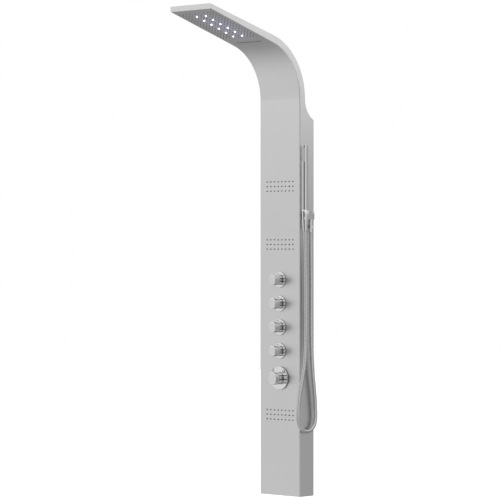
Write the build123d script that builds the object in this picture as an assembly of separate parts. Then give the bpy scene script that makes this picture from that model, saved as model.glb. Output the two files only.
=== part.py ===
from build123d import *
import math
import os

# A thermostatic shower column: a folded sheet-steel panel that hangs on a wall, bends over into a
# rain head, and carries a mixer, four stop valves, three groups of body jets and a hand shower.
# Millimetres. X runs along the wall, the panel faces -Y, the wall is the plane Y = 0. The sizes
# below are measured from the panel's bottom edge; export() moves the origin to the wall screws.

os.makedirs("parts", exist_ok=True)

# Overall panel
HEIGHT = 1650.0
WIDTH = 184.0
DEPTH = 70.0
REACH = 510.0
TIP = 18.0
BEND_R = 190.0
NECK = 26.0
HEAD_RISE = 294.0
FLARE_R = 78.0
SHEET = 1.5
COVER = 1.2
EDGE_R = 2.5
FLANGE = 14.0

# Clearances
RUN = 0.05
GAP = 0.3
SEAT = 0.1

# Body jets
JET_Z = {"lower": 276.0, "middle": 860.0, "upper": 1059.0}
JET_COLS = 8
JET_ROWS = 3
JET_PITCH_X = 17.0
JET_PITCH_Z = 16.0
JET_R = 2.4
JET_OUT = 2.2
JET_BOX_D = 16.0
JET_MARGIN = 6.0
MAT = 2.0

# Stop valves, numbered from the top one down
VALVE_COUNT = 4
VALVE_OVER_MIXER = 93.4
VALVE_PITCH = 81.2
PLATE_R = 27.5
PLATE_T = 3.5
KNOB_R = 18.3
KNOB_OUT = 41.7
GRIPS = 10
GRIP_R = 2.4
GRIP_IN = 0.9
GRIP_L = 11.0
GRIP_TURN = 14.0
LEVER_R = 1.6
LEVER_END = 32.0
LEVER_BACK = 22.0
LEVER_ANGLE = 135.0
STEM_R = 4.0
STEM_IN = 24.0
CARTRIDGE_R = 12.0

# Manifold behind the valves
MANIFOLD_HALF = 16.0
MANIFOLD_IN = 12.0
MANIFOLD_D = 34.0
MANIFOLD_END = 30.0

# Thermostatic mixer
MIXER_Z = 402.0
MIXER_IN = 28.0
MIXER_R = 18.0
MIXER_HALF = 70.0
MIXER_NECK_R = 20.0
THERMO_R = 15.0
THERMO_STEM_R = 5.0
MIXER_PLATE_R = 40.3
MIXER_PLATE_T = 5.5
MIXER_KNOB_R = 22.0
MIXER_GRIP_L = 20.0
MIXER_GRIP_TURN = 24.0
BUTTON_R = 3.2
BUTTON_OUT = 13.5
BUTTON_BACK = 7.0
BUTTON_DEPTH = 10.0
BUTTON_TRAVEL = 2.5
INLET_X = 50.0
INLET_R = 10.48
INLET_L = 12.0
INLET_END = 4.0
HEX_FLATS = 26.0

# Rain head, measured along its underside from the tip
LED_X = 20.5
LED_FIRST = 55.0
LED_PITCH = 36.8
LED_COUNT = 6
LED_R = 4.0
RAIN_X = (7.0, 34.0, 48.0, 62.0, 76.0)
RAIN_FIRST = 32.0
RAIN_PITCH = 14.5
RAIN_ROWS = 16
RAIN_R = 1.7
RAIN_TAPER = 0.5
RAIN_OUT = 1.4
CHAMBER_START = 20.0
CHAMBER_END = 280.0
CHAMBER_H = 10.0
SLOT_AT = 297.0
SLOT_L = 115.0
SLOT_W = 3.6
SPOUT_H = 9.5

# Wall brackets
LOWER_BRACKET_Z = 180.0
UPPER_BRACKET_DROP = 176.0
BRACKET_W = 130.0
BRACKET_H = 40.0
BRACKET_T = 2.5
SCREW_X = 45.0
SCREW_R = 3.25
LIP = 12.0
LIP_FREE = 9.0

# Hand shower and its holder, on the +X side
WAND_OUT = 16.0
WAND_Y = -62.0
WAND_R = 10.5
WAND_BORE = 8.0
WAND_TOP = 1198.0
WAND_FACE_L = 57.0
WAND_FACE_HALF = 6.0
WAND_FACING = 0.0
WAND_JET_PITCH = 8.4
HOLDER_Z0 = 945.0
HOLDER_Z1 = 973.0
RING_R = 16.0
LINER_T = 1.1
CONE_TOP_R = 13.0
CONE_SEAT_R = 12.2
CONE_END_R = 7.6
CONE_Z0 = 905.0
CONE_TOP_H = 4.0
CONE_STUB_R = 6.5
CONE_STUB_L = 12.0
OUTLET_OUT = 14.0
OUTLET_Y = -30.0
OUTLET_R = 9.0
OUTLET_Z0 = 925.0
NUT_Z0 = 902.0
NUT_R = 8.6
HOLDER_BEHIND = 16.0
HOLDER_CORNER = 20.0
HOSE_SLOT = 15.0
HOSE_R = 7.0
HOSE_WALL = 1.2

# Supply pipes inside the panel
PIPE_R = 5.0
THIN_PIPE_R = 4.0
PIPE_WALL = 1.0
RISER_X = 36.0
RISER_IN = 34.0
RAIN_OVER = 17.0
SPOUT_FEED = 9.5
TEE = 7.0
TEE_OFF = 12.0
FEED_IN = 20.0
HAND_X = 62.0
TURBINE_R = 14.0
TURBINE_H = 40.0
TURBINE_Z = 1110.0

# Worked out from the sizes above
BEND_Z = HEIGHT - HEAD_RISE
BEND_Y = -DEPTH - BEND_R
OUTER_R = BEND_R + NECK
INNER_HALF = WIDTH / 2 - SHEET
FACE_Y = -DEPTH
BACK_OF_FACE = -DEPTH + SHEET
KNOB_FRONT = DEPTH + KNOB_OUT
STEM_DEPTH = DEPTH - STEM_IN
MANIFOLD_FRONT = DEPTH - MANIFOLD_IN
MANIFOLD_BACK = MANIFOLD_FRONT - MANIFOLD_D
MIXER_Y = MIXER_IN - DEPTH
RISER_Y = RISER_IN - DEPTH
FEED_Y = FEED_IN - DEPTH
LIP_OUT = -RISER_Y - PIPE_R - LIP_FREE
FLARE_Y = BEND_Y + OUTER_R + FLARE_R
WAND_X = WIDTH / 2 + WAND_OUT
OUTLET_X = WIDTH / 2 + OUTLET_OUT
UPPER_BRACKET_Z = BEND_Z - UPPER_BRACKET_DROP
ORIGIN_Z = (UPPER_BRACKET_Z + LOWER_BRACKET_Z) / 2
TEE_X = INNER_HALF - TEE_OFF
VALVE_LOW_Z = MIXER_Z + VALVE_OVER_MIXER
VALVE_Z = [VALVE_LOW_Z + i * VALVE_PITCH for i in reversed(range(VALVE_COUNT))]
PLATE_Y = FACE_Y - PLATE_T
MIXER_PLATE_Y = FACE_Y - MIXER_PLATE_T

# The hose from the hand shower's cone, down round its loop and up to the outlet
HOSE_POINTS = [
    (WAND_X, WAND_Y, CONE_Z0),
    (WAND_X, WAND_Y, 878),
    (WAND_X - 1, -59.5, 842),
    (WAND_X - 2, -57, 790),
    (WAND_X - 2, -55.5, 700),
    (WAND_X - 1, -56.5, 600),
    (WAND_X - 1, -57.5, 515),
    (WAND_X - 1, -63, 450),
    (WAND_X - 1.5, -77, 392),
    (WAND_X - 2, -90, 340),
    (WAND_X - 2, -94.5, 297),
    (WAND_X - 2, -94, 253.5),
    (WAND_X - 2, -77.5, 230),
    (WAND_X - 2, -50, 221),
    (WAND_X - 2, -22.5, 230),
    (WAND_X - 2, -5.5, 253.5),
    (WAND_X - 2, -6, 299),
    (WAND_X - 1, -13, 362),
    (WAND_X, -24, 430),
    (WAND_X, -29.5, 510),
    (WAND_X - 1, -30.5, 612),
    (WAND_X - 2, -28, 717),
    (OUTLET_X, OUTLET_Y, 817),
    (OUTLET_X, OUTLET_Y, NUT_Z0),
]


def box(x0, x1, y0, y1, z0, z1):
    """A box between two corners."""
    centre = Pos((x0 + x1) / 2, (y0 + y1) / 2, (z0 + z1) / 2)
    return centre * Box(x1 - x0, y1 - y0, z1 - z0)


def rod(start, end, radius, end_radius=None):
    """A round bar, or a taper, from one point to another."""
    start, end = Vector(*start), Vector(*end)
    place = Plane(origin=start, z_dir=end - start).location
    length = (end - start).length
    low = (Align.CENTER, Align.CENTER, Align.MIN)
    if end_radius is None:
        return place * Cylinder(radius, length, align=low)
    return place * Cone(radius, end_radius, length, align=low)


def hexagon(start, end, flats):
    """A hexagonal bar between two points."""
    start, end = Vector(*start), Vector(*end)
    sketch = Plane(origin=start, z_dir=end - start) * RegularPolygon(flats / math.sqrt(3), 6)
    return extrude(sketch, (end - start).length)


def tube_along(points, radii, outer, wall):
    """A hollow round tube along straight runs joined by arcs."""
    path = FilletPolyline(*points, radius=radii)
    start = Plane(origin=path @ 0, z_dir=path % 0)
    section = start * (Circle(outer) - Circle(outer - wall))
    return sweep(section, path=path)


def turned(points, start, direction):
    """A revolved piece: (distance along, radius) pairs about an axis from start."""
    axis = Vector(*direction).normalized()
    origin = Vector(*start)
    side = Vector(0, 0, 1) if abs(axis.Z) < 0.5 else Vector(1, 0, 0)
    plane = Plane(origin=origin, x_dir=axis, z_dir=axis.cross(side))
    face = plane * make_face(Polyline(*points, close=True))
    return revolve(face, axis=Axis(origin, axis))


def polar(radius, degrees):
    """A point in the side view on a circle about the bend's centre."""
    turn = math.radians(degrees)
    return (BEND_Y + radius * math.cos(turn), BEND_Z + radius * math.sin(turn))


def tangent(point, radius):
    """Slope and touching angle, in degrees, of the line from a tip point over the bend circle."""
    dy, dz = BEND_Y - point[0], BEND_Z - point[1]
    slope = math.degrees(math.atan2(dz, dy) + math.asin(radius / math.hypot(dy, dz)))
    return slope, 90 + slope


def bend_arc(radius, start, end):
    """An arc about the bend's centre between two angles, in degrees."""
    return ThreePointArc(polar(radius, start), polar(radius, (start + end) / 2), polar(radius, end))


def flare_arc(radius):
    """The concave arc that widens the back of the neck to the wall, and its end on the wall."""
    drop = math.acos(FLARE_Y / radius)
    half = math.pi + drop / 2
    end = (0, BEND_Z - math.sqrt(radius ** 2 - FLARE_Y ** 2))
    middle = (FLARE_Y + radius * math.cos(half), BEND_Z + radius * math.sin(half))
    return ThreePointArc((FLARE_Y - radius, BEND_Z), middle, end), end


UNDER_TIP = (-REACH, HEIGHT - TIP)
TOP_TIP = (-REACH, HEIGHT)
TILT, UNDER_TOUCH = tangent(UNDER_TIP, BEND_R)
TOP_TILT, TOP_TOUCH = tangent(TOP_TIP, OUTER_R)
HEAD = Plane(
    origin=(0, *UNDER_TIP),
    x_dir=(1, 0, 0),
    z_dir=(0, -math.sin(math.radians(TILT)), math.cos(math.radians(TILT))),
).location


def head_box(x0, x1, s0, s1, v0, v1):
    """A box in the head: X, distance from the tip along the underside, height above it."""
    return HEAD * box(x0, x1, s0, s1, v0, v1)


def extruded(outline, half):
    """A side-view outline, (Y, Z), as a solid that is centred across the panel."""
    return extrude(Plane.YZ * make_face(outline), amount=half, both=True)


def panel_outline():
    """The panel's side view, with its true outer edges."""
    flare, flare_end = flare_arc(FLARE_R)
    edges = [
        Line((0, 0), (FACE_Y, 0)),
        Line((FACE_Y, 0), (FACE_Y, BEND_Z)),
        bend_arc(BEND_R, 0, UNDER_TOUCH),
        Line(polar(BEND_R, UNDER_TOUCH), UNDER_TIP),
        Line(UNDER_TIP, TOP_TIP),
        Line(TOP_TIP, polar(OUTER_R, TOP_TOUCH)),
        bend_arc(OUTER_R, TOP_TOUCH, 0),
        flare,
        Line(flare_end, (0, 0)),
    ]
    return Wire(edges)


def hollow_outline():
    """The side view of what is taken out of the panel, open to the top and the back."""
    radius = BEND_R + SHEET
    touch = polar(radius, UNDER_TOUCH)
    inside_y = -REACH + SHEET
    along = (touch[0] - inside_y) / math.cos(math.radians(TILT))
    corner = (inside_y, touch[1] - along * math.sin(math.radians(TILT)))
    top = HEIGHT + TIP
    flare_z = flare_arc(FLARE_R)[1][1]
    ledge = flare_z - TIP
    edges = [
        Line((-SHEET, SHEET), (BACK_OF_FACE, SHEET)),
        Line((BACK_OF_FACE, SHEET), (BACK_OF_FACE, BEND_Z)),
        bend_arc(radius, 0, UNDER_TOUCH),
        Line(touch, corner),
        Line(corner, (inside_y, top)),
        Line((inside_y, top), (TIP, top)),
        Line((TIP, top), (TIP, ledge)),
        Line((TIP, ledge), (-SHEET, ledge)),
        Line((-SHEET, ledge), (-SHEET, SHEET)),
    ]
    return Wire(edges)


def front_edges(solid, half):
    """The long edges where a solid's front and underside turn into its sides."""
    found = []
    for edge in solid.edges():
        middle = edge @ 0.5
        ends = (edge @ 0, edge @ 1)
        at_side = all(abs(abs(p.X) - half) < 0.01 for p in (*ends, middle))
        front = abs(middle.Y - FACE_Y) < 2 * SHEET and middle.Z < BEND_Z and middle.Z > 5 * SHEET
        away = math.hypot(middle.Y - BEND_Y, middle.Z - BEND_Z)
        bend = middle.Z > BEND_Z and abs(away - BEND_R) < 2 * SHEET
        local = HEAD.inverse() * Pos(*middle)
        under = abs(local.position.Z) < 2 * SHEET and 0.2 * REACH < local.position.Y < 0.5 * REACH
        if at_side and (front or bend or under):
            found.append(edge)
    return found


def jet_places(group):
    """X and Z of every nozzle in one group of body jets."""
    places = []
    for column in range(JET_COLS):
        for row in range(JET_ROWS):
            x = (column - (JET_COLS - 1) / 2) * JET_PITCH_X
            places.append((x, JET_Z[group] + (row - (JET_ROWS - 1) / 2) * JET_PITCH_Z))
    return places


def rain_places():
    """X and distance from the tip of every rain nozzle."""
    places = []
    for row in range(RAIN_ROWS):
        for x in RAIN_X:
            places.append((x, RAIN_FIRST + row * RAIN_PITCH))
            places.append((-x, RAIN_FIRST + row * RAIN_PITCH))
    return places


def led_places():
    """X and distance from the tip of every light."""
    rows = [LED_FIRST + i * LED_PITCH for i in range(LED_COUNT)]
    return [(x, s) for s in rows for x in (-LED_X, LED_X)]


def panel_shell():
    """The folded steel panel, with every hole in its front, sides and underside."""
    body = extruded(panel_outline(), WIDTH / 2)
    body = fillet(front_edges(body, WIDTH / 2), EDGE_R)
    hollow = extruded(hollow_outline(), INNER_HALF)
    hollow = fillet(front_edges(hollow, INNER_HALF), EDGE_R - SHEET)
    back = box(FLANGE - WIDTH / 2, WIDTH / 2 - FLANGE, -SHEET - 1, 1, SHEET, BEND_Z)
    body = body - hollow - back
    holes = []
    for group in JET_Z:
        for x, z in jet_places(group):
            holes.append(rod((x, FACE_Y - 1, z), (x, BACK_OF_FACE + 1, z), JET_R))
    for z in VALVE_Z:
        holes.append(rod((0, FACE_Y - 1, z), (0, BACK_OF_FACE + 1, z), CARTRIDGE_R + GAP))
    holes.append(rod((0, FACE_Y - 1, MIXER_Z), (0, BACK_OF_FACE + 1, MIXER_Z), MIXER_NECK_R + GAP))
    for x, s in rain_places():
        holes.append(HEAD * rod((x, s, -1), (x, s, SHEET + 1), RAIN_R))
    for x, s in led_places():
        holes.append(HEAD * rod((x, s, -1), (x, s, SHEET + 1), LED_R))
    holes.append(head_box(-SLOT_L / 2, SLOT_L / 2, SLOT_AT - SLOT_W / 2, SLOT_AT + SLOT_W / 2, -1, 3))
    feed = hand_feed_z()
    holes.append(rod((INNER_HALF - 1, RISER_Y, feed), (WIDTH / 2 + 1, RISER_Y, feed), PIPE_R))
    return body - holes


def hand_feed_z():
    """The height at which the hand shower's supply leaves the panel's side."""
    return (HOLDER_Z0 + HOLDER_Z1) / 2


def head_cover():
    """The lid over the head and the back of the neck, between the panel's sides."""
    flare, flare_end = flare_arc(FLARE_R)
    inner_flare, inner_end = flare_arc(FLARE_R + COVER)
    inside_y = -REACH + SHEET
    rise = math.tan(math.radians(TOP_TILT))
    outer_tip = (inside_y, TOP_TIP[1] + (inside_y - TOP_TIP[0]) * rise)
    inner_tip = (inside_y, outer_tip[1] - COVER / math.cos(math.radians(TOP_TILT)))
    inner_r = OUTER_R - COVER
    edges = [
        Line(outer_tip, polar(OUTER_R, TOP_TOUCH)),
        bend_arc(OUTER_R, TOP_TOUCH, 0),
        flare,
        Line(flare_end, inner_end),
        inner_flare,
        bend_arc(inner_r, 0, TOP_TOUCH),
        Line(polar(inner_r, TOP_TOUCH), inner_tip),
        Line(inner_tip, outer_tip),
    ]
    return extruded(Wire(edges), INNER_HALF)


def jet_mat(group):
    """A soft nozzle mat whose teats stick out through the panel's front."""
    half_x, half_z = jet_half()
    z = JET_Z[group]
    mat = box(-half_x, half_x, BACK_OF_FACE, BACK_OF_FACE + MAT, z - half_z, z + half_z)
    teats = []
    for x, height in jet_places(group):
        teats.append(rod((x, BACK_OF_FACE + 1, height), (x, FACE_Y, height), JET_R))
        teats.append(rod((x, FACE_Y, height), (x, FACE_Y - JET_OUT, height), JET_R, JET_R - 0.8))
    return mat + teats


def jet_half():
    """Half the width and half the height of a jet group's mat and chamber."""
    half_x = (JET_COLS - 1) / 2 * JET_PITCH_X + JET_MARGIN
    half_z = (JET_ROWS - 1) / 2 * JET_PITCH_Z + JET_MARGIN
    return half_x, half_z


def jet_chamber(group):
    """The water box behind a mat, with a spigot that meets the jets' supply line."""
    half_x, half_z = jet_half()
    z = JET_Z[group]
    front = BACK_OF_FACE + MAT
    back = front + JET_BOX_D
    chamber = box(-half_x, half_x, front, back, z - half_z, z + half_z)
    hollow = box(MAT - half_x, half_x - MAT, front - 1, back - MAT, z - half_z + MAT, z + half_z - MAT)
    middle = (front + back) / 2
    spigot = rod((half_x - 1, middle, z), (TEE_X - TEE, middle, z), THIN_PIPE_R)
    bore = rod((half_x - MAT - 1, middle, z), (TEE_X, middle, z), THIN_PIPE_R - PIPE_WALL)
    return chamber - hollow + spigot - bore


def jet_line_y():
    """How far from the wall the jets' supply line runs: level with the chambers' middle."""
    return BACK_OF_FACE + MAT + JET_BOX_D / 2


def jet_tee(z, feed=False):
    """A block on the jets' supply line, drilled along the line and towards the chamber or feed."""
    y = jet_line_y()
    back = FEED_Y + TEE if feed else y + TEE
    block = box(TEE_X - TEE, TEE_X + TEE, y - TEE, back, z - TEE, z + TEE)
    bore = THIN_PIPE_R - PIPE_WALL
    entry = FEED_Y if feed else y
    across = rod((TEE_X - TEE - 1, entry, z), (TEE_X, entry, z), bore)
    foot = z if z == min(JET_Z.values()) else z - TEE - 1
    top = z if z == max(JET_Z.values()) else z + TEE + 1
    along = rod((TEE_X, y, foot), (TEE_X, y, top), bore)
    if feed:
        across = across + rod((TEE_X, FEED_Y, z), (TEE_X, y, z), bore)
    return block - across - along


def jet_line(z0, z1):
    """One length of the jets' supply line, between two blocks."""
    y = jet_line_y()
    pipe = rod((TEE_X, y, z0 + TEE), (TEE_X, y, z1 - TEE), THIN_PIPE_R)
    return pipe - rod((TEE_X, y, z0), (TEE_X, y, z1), THIN_PIPE_R - PIPE_WALL)


def jet_supply():
    """The brazed supply line of the body jets, from its valve to the three chambers."""
    stops = sorted([*JET_Z.values(), VALVE_Z[2]])
    line = jet_tee(VALVE_Z[2], feed=True) + jet_feed()
    for z in JET_Z.values():
        line = line + jet_tee(z)
    for low, high in zip(stops, stops[1:]):
        line = line + jet_line(low, high)
    return line


def valve_manifold():
    """The brass block that holds the four cartridges and feeds the supply pipes."""
    low, high = VALVE_Z[-1] - MANIFOLD_END, VALVE_Z[0] + MANIFOLD_END
    half = MANIFOLD_HALF
    block = box(-half, half, -MANIFOLD_FRONT, -MANIFOLD_BACK, low, high)
    for z in VALVE_Z:
        block = block - rod((0, -MANIFOLD_FRONT - 1, z), (0, -STEM_DEPTH + 4 + MAT, z), CARTRIDGE_R)
    gallery = rod((0, -MANIFOLD_BACK - 8, low - 1), (0, -MANIFOLD_BACK - 8, high - MANIFOLD_END), PIPE_R)
    ports = []
    places = zip((-1, 1, 1, 1), VALVE_Z, (RISER_Y, RISER_Y, FEED_Y, RISER_Y))
    for side, z, y in places:
        ports.append(rod((0, y, z), (side * (half + 1), y, z), THIN_PIPE_R - PIPE_WALL))
    return block - gallery - ports


def valve_cartridge(z):
    """A ceramic stop cartridge, seated in the manifold, with its neck through the panel."""
    inner = -STEM_DEPTH + 4 + MAT
    body = rod((0, inner, z), (0, PLATE_Y, z), CARTRIDGE_R)
    body = body - rod((0, -STEM_DEPTH, z), (0, PLATE_Y - 1, z), STEM_R + RUN)
    return body - rod((0, -STEM_DEPTH - 6, z), (0, -STEM_DEPTH, z), 8 + GAP)


def valve_stem(z):
    """The turning stem with the collar that keeps it in its cartridge."""
    stem = rod((0, -STEM_DEPTH - GAP, z), (0, -KNOB_FRONT + 12, z), STEM_R)
    return stem + rod((0, -STEM_DEPTH - 5.5, z), (0, -STEM_DEPTH - GAP, z), 8)


def round_plate(z, radius, thickness, hole):
    """A wall plate round a valve's neck, with a softened rim."""
    disc = [(0, hole), (0, radius), (thickness - 1.2, radius), (thickness, radius - 1.2), (thickness, hole)]
    return turned(disc, (0, FACE_Y, z), (0, -1, 0))


def grips(z, radius, start, length, turn):
    """Round-ended grip flutes cut into a knob's side, from its base forwards."""
    cuts = []
    for i in range(GRIPS):
        angle = math.radians(turn + i * 360 / GRIPS)
        away = radius + GRIP_R - GRIP_IN
        x, height = away * math.cos(angle), z + away * math.sin(angle)
        cuts.append(rod((x, -start + 1, height), (x, -start - length, height), GRIP_R))
        cuts.append(Pos(x, -start - length, height) * Sphere(GRIP_R))
    return cuts


def knob(z, plate_y, radius, stem_radius, grip_length, grip_turn):
    """A turned knob with a rounded front edge, grip flutes and a bore for its stem."""
    start = -plate_y + 2 * GAP
    length = KNOB_FRONT - start
    soft = 2.0
    outline = [
        (0, 0),
        (0, radius - 0.8),
        (0.8, radius),
        (length - soft, radius),
        (length - soft * 0.3, radius - soft * 0.3),
        (length, radius - soft),
        (length, 0),
    ]
    body = turned(outline, (0, -start, z), (0, -1, 0))
    body = body - grips(z, radius, start, grip_length, grip_turn)
    return body - rod((0, -start + 1, z), (0, -KNOB_FRONT + 12 - GAP, z), stem_radius + RUN)


def stop_knob(z):
    """A stop-valve knob with the thin lever pin that shows how far it is turned."""
    body = knob(z, PLATE_Y, KNOB_R, STEM_R, GRIP_L, GRIP_TURN)
    angle = math.radians(LEVER_ANGLE)
    y = LEVER_BACK - KNOB_FRONT
    inner = (KNOB_R / 2 * math.cos(angle), y, z + KNOB_R / 2 * math.sin(angle))
    outer = (LEVER_END * math.cos(angle), y, z + LEVER_END * math.sin(angle))
    return body + rod(inner, outer, LEVER_R)


def mixer_body():
    """The thermostatic mixer's body: a bar with a neck that comes out through the panel."""
    bar = rod((-MIXER_HALF, MIXER_Y, MIXER_Z), (MIXER_HALF, MIXER_Y, MIXER_Z), MIXER_R)
    neck = rod((0, MIXER_Y, MIXER_Z), (0, MIXER_PLATE_Y, MIXER_Z), MIXER_NECK_R)
    bores = []
    for x in (-INLET_X, INLET_X):
        bores.append(rod((x, MIXER_Y, MIXER_Z), (x, 0, MIXER_Z), 6))
    seat = rod((0, MIXER_Y + 8, MIXER_Z), (0, MIXER_PLATE_Y - 1, MIXER_Z), THERMO_R)
    outlet = rod((0, MIXER_Y, MIXER_Z), (0, MIXER_Y, MIXER_Z + MIXER_NECK_R + 1), PIPE_R - PIPE_WALL)
    passage = rod((-INLET_X, MIXER_Y, MIXER_Z), (INLET_X, MIXER_Y, MIXER_Z), 5.5)
    return bar + neck - bores - seat - passage - outlet


def mixer_link():
    """The short pipe from the mixer up to the manifold."""
    top = VALVE_Z[-1] - MANIFOLD_END
    foot = MIXER_Z + math.sqrt(MIXER_NECK_R ** 2 - PIPE_R ** 2)
    y = -MANIFOLD_BACK - 8
    points = [(0, MIXER_Y, MIXER_Z), (0, MIXER_Y, foot + 16), (0, y, foot + 34), (0, y, top)]
    pipe = tube_along(points, [9, 9], PIPE_R, PIPE_WALL)
    clear = rod((0, -DEPTH, MIXER_Z), (0, 0, MIXER_Z), MIXER_NECK_R + SEAT)
    bar = rod((-MIXER_HALF, MIXER_Y, MIXER_Z), (MIXER_HALF, MIXER_Y, MIXER_Z), MIXER_R)
    return pipe - clear - bar


def thermo_cartridge():
    """The wax thermostat in the mixer, which the temperature stem turns."""
    body = rod((0, MIXER_Y + 8, MIXER_Z), (0, MIXER_PLATE_Y, MIXER_Z), THERMO_R)
    return body - rod((0, MIXER_Y, MIXER_Z), (0, MIXER_PLATE_Y - 1, MIXER_Z), THERMO_STEM_R + RUN)


def temperature_stem():
    """The stem that joins the temperature knob to the thermostat."""
    return rod((0, MIXER_Y - GAP, MIXER_Z), (0, -KNOB_FRONT + 12, MIXER_Z), THERMO_STEM_R)


def temperature_knob():
    """The temperature knob, with a pocket for its safety button."""
    body = knob(MIXER_Z, MIXER_PLATE_Y, MIXER_KNOB_R, THERMO_STEM_R, MIXER_GRIP_L, MIXER_GRIP_TURN)
    y = BUTTON_BACK - KNOB_FRONT
    floor = MIXER_Z + MIXER_KNOB_R - BUTTON_DEPTH - BUTTON_TRAVEL - GAP
    return body - rod((0, y, floor), (0, y, MIXER_Z + MIXER_KNOB_R + 1), BUTTON_R + RUN)


def safety_button():
    """The tall button on the knob's rim that is pressed in to pass the safe temperature."""
    y = BUTTON_BACK - KNOB_FRONT
    foot = MIXER_Z + MIXER_KNOB_R - BUTTON_DEPTH
    top = MIXER_Z + MIXER_KNOB_R + BUTTON_OUT
    body = rod((0, y, foot), (0, y, top), BUTTON_R)
    rim = body.edges().filter_by(GeomType.CIRCLE).sort_by(Axis.Z)[-1]
    return fillet(rim, 0.8)


def inlet(x):
    """A supply inlet: a hexagon against the mixer and a half-inch thread towards the wall."""
    seat = MIXER_Y + math.sqrt(MIXER_R ** 2 - (HEX_FLATS / 2) ** 2)
    thread = -INLET_END - INLET_L
    body = hexagon((x, seat, MIXER_Z), (x, thread, MIXER_Z), HEX_FLATS)
    body = body + rod((x, thread, MIXER_Z), (x, -INLET_END, MIXER_Z), INLET_R)
    body = body - rod((x, MIXER_Y, MIXER_Z), (x, 1, MIXER_Z), 6)
    bar = rod((-MIXER_HALF - 1, MIXER_Y, MIXER_Z), (MIXER_HALF + 1, MIXER_Y, MIXER_Z), MIXER_R)
    return body - bar


def rain_chamber():
    """The shallow water box over the rain nozzles, with slots for the two rows of lights."""
    half = INNER_HALF - 3
    low = SHEET + MAT
    high = low + CHAMBER_H
    wall = MAT
    s0, s1 = led_span()
    near, far = CHAMBER_START, CHAMBER_END
    body = head_box(-half, half, near, far, low, high)
    body = body - head_box(wall - half, half - wall, near + wall, far - wall, low - 1, high - wall)
    for side in (-1, 1):
        x = side * LED_X
        outer = LED_R + 1 + wall
        rim = head_box(x - outer, x + outer, s0 - wall, s1 + wall, low, high)
        body = body + rim - head_box(x - LED_R - 1, x + LED_R + 1, s0, s1, low - 1, high + 1)
    body = body + head_box(-RISER_X - 10, -RISER_X + 10, far - 18, far, high - wall, high + 9)
    down = HEAD * rod((-RISER_X, far - 9, low), (-RISER_X, far - 9, RAIN_OVER), 4)
    along = HEAD * rod((-RISER_X, far - 9, RAIN_OVER), (-RISER_X, far + 1, RAIN_OVER), 3)
    return body - down - along


def led_span():
    """Start and end of the slots that the lights take, along the underside."""
    return LED_FIRST - LED_R - 6, LED_FIRST + (LED_COUNT - 1) * LED_PITCH + LED_R + 6


def rain_mat():
    """The soft nozzle mat of the head, whose teats stick out through the underside."""
    half = INNER_HALF - 3
    mat = head_box(-half, half, CHAMBER_START, CHAMBER_END, SHEET, SHEET + MAT)
    s0, s1 = led_span()
    for side in (-1, 1):
        x = side * LED_X
        mat = mat - head_box(x - LED_R - 1, x + LED_R + 1, s0, s1, SHEET - 1, SHEET + MAT + 1)
    teats = []
    for x, s in rain_places():
        teats.append(HEAD * rod((x, s, SHEET + 1), (x, s, 0), RAIN_R))
        teats.append(HEAD * rod((x, s, 0), (x, s, -RAIN_OUT), RAIN_R, RAIN_R - RAIN_TAPER))
    return mat + teats


def led_lenses(side):
    """One row of clear lenses on a shared strip, each lens through its hole in the underside."""
    s0, s1 = led_span()
    x = side * LED_X
    strip = head_box(x - LED_R - 0.7, x + LED_R + 0.7, s0 + 0.3, s1 - 0.3, SHEET, SHEET + MAT)
    for place, s in led_places():
        if place * side > 0:
            strip = strip + HEAD * rod((x, s, SHEET + 1), (x, s, -0.6), LED_R)
    return strip


def led_board(side):
    """The circuit board that carries one row of lights, with a light behind each lens."""
    s0, s1 = led_span()
    x = side * LED_X
    low = SHEET + MAT + 1.6
    board = head_box(x - LED_R, x + LED_R, s0 + 1, s1 - 1, low, low + 1.6)
    for place, s in led_places():
        if place * side > 0:
            board = board + head_box(x - 2.5, x + 2.5, s - 2.5, s + 2.5, SHEET + MAT, low + 0.5)
    return board


def waterfall_spout():
    """The flat spout behind the slot across the head's underside."""
    s0, s1 = SLOT_AT - 8, SLOT_AT + 8
    half = SLOT_L / 2 + 4
    body = head_box(-half, half, s0, s1, SHEET, SHEET + SPOUT_H)
    boss = head_box(RISER_X - 9, RISER_X + 9, s0, s1 + 8, SHEET + 2, SPOUT_FEED + PIPE_R + 1.5)
    front, rear = SLOT_AT - SLOT_W / 2, SLOT_AT + SLOT_W / 2
    channel = head_box(-SLOT_L / 2, SLOT_L / 2, front, rear, SHEET - 1, SHEET + SPOUT_H - MAT)
    feed = HEAD * rod((RISER_X, SLOT_AT, SPOUT_FEED - 2), (RISER_X, s1 + 9, SPOUT_FEED - 2), 3)
    return body + boss - channel - feed


def riser_top(x, over, end):
    """The corner and the end point of a supply pipe that follows the bend into the head."""
    radius = BEND_R + over
    y = BEND_Y + radius
    corner_z = BEND_Z + radius * math.tan(math.radians(UNDER_TOUCH / 2))
    finish = HEAD * Pos(x, end, over)
    return y, (x, y, corner_z), tuple(finish.position), radius


def head_riser(x, over, end, start_z, start_x):
    """A supply pipe from the manifold's side, or from the generator, up into the head."""
    y, corner, finish, radius = riser_top(x, over, end)
    points = [(x, RISER_Y, BEND_Z - 140), (x, y, BEND_Z - 55), corner, finish]
    radii = [60, 60, radius]
    if start_x is None:
        points = [(x, RISER_Y, start_z)] + points
    else:
        points = [(start_x, RISER_Y, start_z), (x, RISER_Y, start_z)] + points
        radii = [10] + radii
    return tube_along(points, radii, PIPE_R, PIPE_WALL)


def rain_feed():
    """The pipe from the rain valve up to the light generator."""
    z = VALVE_Z[0]
    points = [(-MANIFOLD_HALF, RISER_Y, z), (-RISER_X, RISER_Y, z), (-RISER_X, RISER_Y, TURBINE_Z)]
    return tube_along(points, [10], PIPE_R, PIPE_WALL)


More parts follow.
